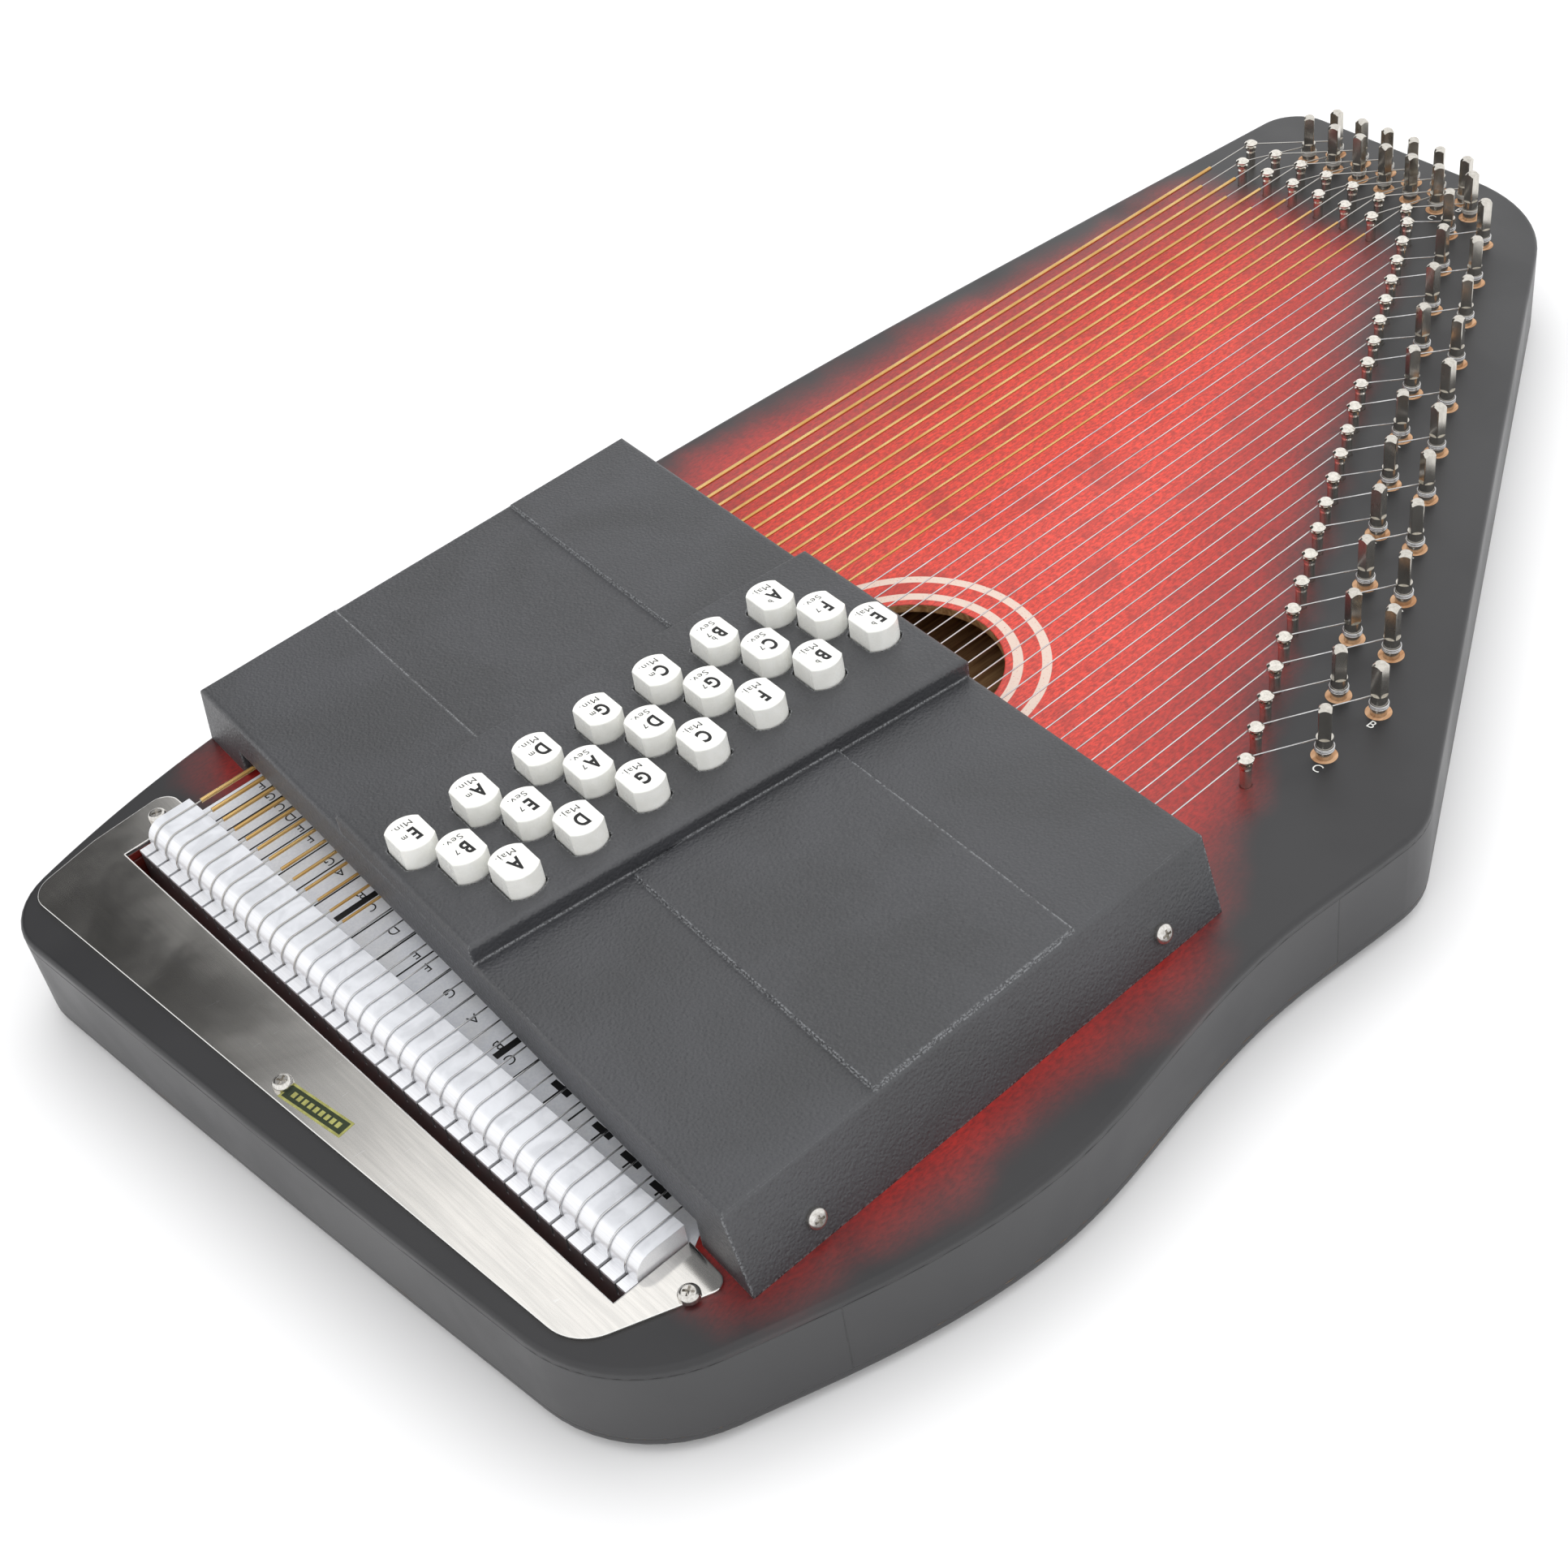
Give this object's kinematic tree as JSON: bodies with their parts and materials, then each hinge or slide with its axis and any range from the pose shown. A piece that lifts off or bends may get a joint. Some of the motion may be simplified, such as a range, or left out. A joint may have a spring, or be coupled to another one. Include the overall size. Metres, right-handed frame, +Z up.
{
  "type": "chorded zither",
  "caption": "Flat-bodied zither with steel strings damped by felted chord bars, each pressed by a lettered button under a moulded cover.",
  "frame": {"origin": "centre of the bounding box in plan, on the surface that the feet stand on", "axes": "+X from the bass side to the treble side, +Y along the strings from the tail to the tuning pins, +Z up from the back to the strings"},
  "size_m": [0.3134, 0.5836, 0.0707],
  "materials": {
    "button_white": "gloss",
    "bar_aluminium": "satin",
    "anchor_aluminium": "satin",
    "back_wood": "satin black paint",
    "holder_black": "matt",
    "spring_steel": "bright",
    "bare_wood": "bare",
    "cover_black": "fine texture",
    "pin_nickel": "polished nickel",
    "chart_white": "printed card",
    "pin_block_wood": "satin black paint",
    "string_steel": "bright",
    "foot_rubber": "matt",
    "screw_nickel": "polished",
    "rail_wood": "satin black paint",
    "soundboard_sunburst": "satin sunburst, red to black",
    "tail_block_wood": "satin black paint",
    "plate_steel": "polished",
    "tuner_nickel": "dark nickel",
    "string_bronze": "wound bronze"
  },
  "bodies": {
    "zither": {"anchor_bar": "anchor_aluminium", "back_board": "back_wood", "bar_holders": "holder_black", "bar_springs": "spring_steel", "braces": "bare_wood", "chord_cover": "cover_black", "guide_pins": "pin_nickel", "note_chart": "chart_white", "pin_block": "pin_block_wood", "plain_strings": "string_steel", "rubber_feet": "foot_rubber", "screws": "screw_nickel", "side_rails": "rail_wood", "soundboard": "soundboard_sunburst", "tail_block": "tail_block_wood", "tail_plate": "plate_steel", "tuning_pins": "tuner_nickel", "wound_strings": "string_bronze"},
    "bar_em": {"chord_bar_em": "bar_aluminium", "button_em": "button_white"},
    "bar_b7": {"chord_bar_b7": "bar_aluminium", "button_b7": "button_white"},
    "bar_a": {"chord_bar_a": "bar_aluminium", "button_a": "button_white"},
    "bar_am": {"chord_bar_am": "bar_aluminium", "button_am": "button_white"},
    "bar_e7": {"chord_bar_e7": "bar_aluminium", "button_e7": "button_white"},
    "bar_d": {"chord_bar_d": "bar_aluminium", "button_d": "button_white"},
    "bar_dm": {"chord_bar_dm": "bar_aluminium", "button_dm": "button_white"},
    "bar_a7": {"chord_bar_a7": "bar_aluminium", "button_a7": "button_white"},
    "bar_g": {"chord_bar_g": "bar_aluminium", "button_g": "button_white"},
    "bar_gm": {"chord_bar_gm": "bar_aluminium", "button_gm": "button_white"},
    "bar_d7": {"chord_bar_d7": "bar_aluminium", "button_d7": "button_white"},
    "bar_c": {"chord_bar_c": "bar_aluminium", "button_c": "button_white"},
    "bar_cm": {"chord_bar_cm": "bar_aluminium", "button_cm": "button_white"},
    "bar_g7": {"chord_bar_g7": "bar_aluminium", "button_g7": "button_white"},
    "bar_f": {"chord_bar_f": "bar_aluminium", "button_f": "button_white"},
    "bar_bb7": {"chord_bar_bb7": "bar_aluminium", "button_bb7": "button_white"},
    "bar_c7": {"chord_bar_c7": "bar_aluminium", "button_c7": "button_white"},
    "bar_bb": {"chord_bar_bb": "bar_aluminium", "button_bb": "button_white"},
    "bar_ab": {"chord_bar_ab": "bar_aluminium", "button_ab": "button_white"},
    "bar_f7": {"chord_bar_f7": "bar_aluminium", "button_f7": "button_white"},
    "bar_eb": {"chord_bar_eb": "bar_aluminium", "button_eb": "button_white"}
  },
  "joints": [
    {"name": "press_em", "type": "slide", "parent": "zither", "child": "bar_em", "axis": [0, 0, -1], "range_m": [0, 0.0033], "stiffness_N_per_m": 300, "springref_m": -0.006, "deforming": ["bar_springs"]},
    {"name": "press_b7", "type": "slide", "parent": "zither", "child": "bar_b7", "axis": [0, 0, -1], "range_m": [0, 0.0033], "stiffness_N_per_m": 300, "springref_m": -0.006, "deforming": ["bar_springs"]},
    {"name": "press_a", "type": "slide", "parent": "zither", "child": "bar_a", "axis": [0, 0, -1], "range_m": [0, 0.0033], "stiffness_N_per_m": 300, "springref_m": -0.006, "deforming": ["bar_springs"]},
    {"name": "press_am", "type": "slide", "parent": "zither", "child": "bar_am", "axis": [0, 0, -1], "range_m": [0, 0.0033], "stiffness_N_per_m": 300, "springref_m": -0.006, "deforming": ["bar_springs"]},
    {"name": "press_e7", "type": "slide", "parent": "zither", "child": "bar_e7", "axis": [0, 0, -1], "range_m": [0, 0.0033], "stiffness_N_per_m": 300, "springref_m": -0.006, "deforming": ["bar_springs"]},
    {"name": "press_d", "type": "slide", "parent": "zither", "child": "bar_d", "axis": [0, 0, -1], "range_m": [0, 0.0033], "stiffness_N_per_m": 300, "springref_m": -0.006, "deforming": ["bar_springs"]},
    {"name": "press_dm", "type": "slide", "parent": "zither", "child": "bar_dm", "axis": [0, 0, -1], "range_m": [0, 0.0033], "stiffness_N_per_m": 300, "springref_m": -0.006, "deforming": ["bar_springs"]},
    {"name": "press_a7", "type": "slide", "parent": "zither", "child": "bar_a7", "axis": [0, 0, -1], "range_m": [0, 0.0033], "stiffness_N_per_m": 300, "springref_m": -0.006, "deforming": ["bar_springs"]},
    {"name": "press_g", "type": "slide", "parent": "zither", "child": "bar_g", "axis": [0, 0, -1], "range_m": [0, 0.0033], "stiffness_N_per_m": 300, "springref_m": -0.006, "deforming": ["bar_springs"]},
    {"name": "press_gm", "type": "slide", "parent": "zither", "child": "bar_gm", "axis": [0, 0, -1], "range_m": [0, 0.0033], "stiffness_N_per_m": 300, "springref_m": -0.006, "deforming": ["bar_springs"]},
    {"name": "press_d7", "type": "slide", "parent": "zither", "child": "bar_d7", "axis": [0, 0, -1], "range_m": [0, 0.0033], "stiffness_N_per_m": 300, "springref_m": -0.006, "deforming": ["bar_springs"]},
    {"name": "press_c", "type": "slide", "parent": "zither", "child": "bar_c", "axis": [0, 0, -1], "range_m": [0, 0.0033], "stiffness_N_per_m": 300, "springref_m": -0.006, "deforming": ["bar_springs"]},
    {"name": "press_cm", "type": "slide", "parent": "zither", "child": "bar_cm", "axis": [0, 0, -1], "range_m": [0, 0.0033], "stiffness_N_per_m": 300, "springref_m": -0.006, "deforming": ["bar_springs"]},
    {"name": "press_g7", "type": "slide", "parent": "zither", "child": "bar_g7", "axis": [0, 0, -1], "range_m": [0, 0.0033], "stiffness_N_per_m": 300, "springref_m": -0.006, "deforming": ["bar_springs"]},
    {"name": "press_f", "type": "slide", "parent": "zither", "child": "bar_f", "axis": [0, 0, -1], "range_m": [0, 0.0033], "stiffness_N_per_m": 300, "springref_m": -0.006, "deforming": ["bar_springs"]},
    {"name": "press_bb7", "type": "slide", "parent": "zither", "child": "bar_bb7", "axis": [0, 0, -1], "range_m": [0, 0.0033], "stiffness_N_per_m": 300, "springref_m": -0.006, "deforming": ["bar_springs"]},
    {"name": "press_c7", "type": "slide", "parent": "zither", "child": "bar_c7", "axis": [0, 0, -1], "range_m": [0, 0.0033], "stiffness_N_per_m": 300, "springref_m": -0.006, "deforming": ["bar_springs"]},
    {"name": "press_bb", "type": "slide", "parent": "zither", "child": "bar_bb", "axis": [0, 0, -1], "range_m": [0, 0.0033], "stiffness_N_per_m": 300, "springref_m": -0.006, "deforming": ["bar_springs"]},
    {"name": "press_ab", "type": "slide", "parent": "zither", "child": "bar_ab", "axis": [0, 0, -1], "range_m": [0, 0.0033], "stiffness_N_per_m": 300, "springref_m": -0.006, "deforming": ["bar_springs"]},
    {"name": "press_f7", "type": "slide", "parent": "zither", "child": "bar_f7", "axis": [0, 0, -1], "range_m": [0, 0.0033], "stiffness_N_per_m": 300, "springref_m": -0.006, "deforming": ["bar_springs"]},
    {"name": "press_eb", "type": "slide", "parent": "zither", "child": "bar_eb", "axis": [0, 0, -1], "range_m": [0, 0.0033], "stiffness_N_per_m": 300, "springref_m": -0.006, "deforming": ["bar_springs"]}
  ]
}
